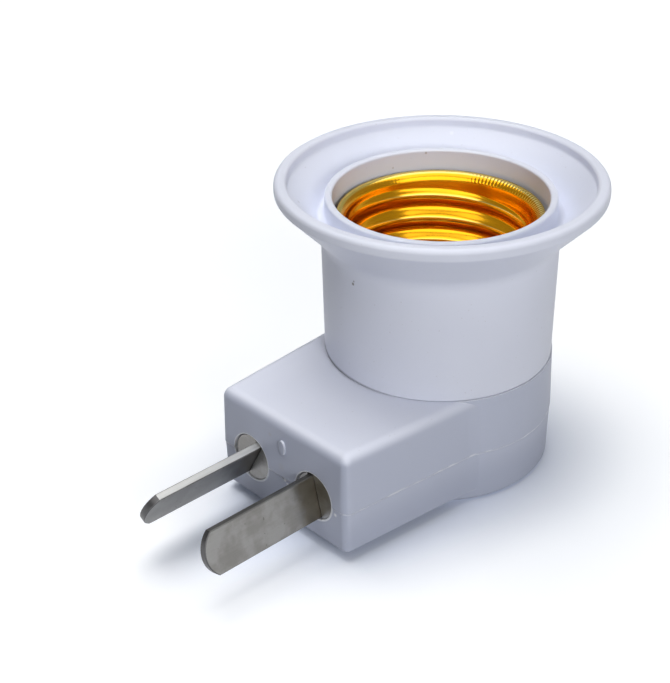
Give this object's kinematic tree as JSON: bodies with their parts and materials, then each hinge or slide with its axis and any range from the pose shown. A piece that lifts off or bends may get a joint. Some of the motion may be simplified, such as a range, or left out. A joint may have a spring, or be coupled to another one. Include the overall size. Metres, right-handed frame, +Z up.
{
  "type": "plug in lamp holder",
  "caption": "Plug in lamp holder: a screw lamp socket with a wide dished brim, standing on a plug block whose two flat blades turn in round posts.",
  "frame": {"origin": "centre of the round foot's flat underside, on the lamp socket's axis", "axes": "+Z up along the lamp socket's axis, out of its mouth; the plug's blades point along -Y"},
  "size_m": [0.0456, 0.0718, 0.0429],
  "materials": {
    "white_plastic": "satin",
    "brass": "bright, rolled",
    "plated_metal": "dull plating",
    "steel": "zinc plated",
    "phenolic": "moulded"
  },
  "bodies": {
    "housing": {"sleeve": "white_plastic", "upper_housing": "white_plastic", "lower_housing": "white_plastic", "screw_shell": "brass", "contact_carrier": "phenolic", "centre_contact": "brass", "centre_rivet": "brass", "shell_rivet_left": "brass", "shell_rivet_right": "brass", "live_strap": "brass", "neutral_strap": "brass", "carrier_screw_left": "steel", "carrier_screw_right": "steel", "housing_screw_front": "steel", "housing_screw_rear": "steel"},
    "left_pin": {"left_post": "plated_metal", "left_blade": "plated_metal", "left_washer": "steel"},
    "right_pin": {"right_post": "plated_metal", "right_blade": "plated_metal", "right_washer": "steel"}
  },
  "joints": [
    {"name": "left_blade_turn", "type": "hinge", "parent": "housing", "child": "left_pin", "pos_m": [-0.00635, -0.0254, 0.00805], "axis": [0, 1, 0], "range_deg": [-29.3, 0.7]},
    {"name": "right_blade_turn", "type": "hinge", "parent": "housing", "child": "right_pin", "pos_m": [0.00635, -0.0254, 0.00805], "axis": [0, 1, 0], "range_deg": [-15.6, 14.4]}
  ]
}
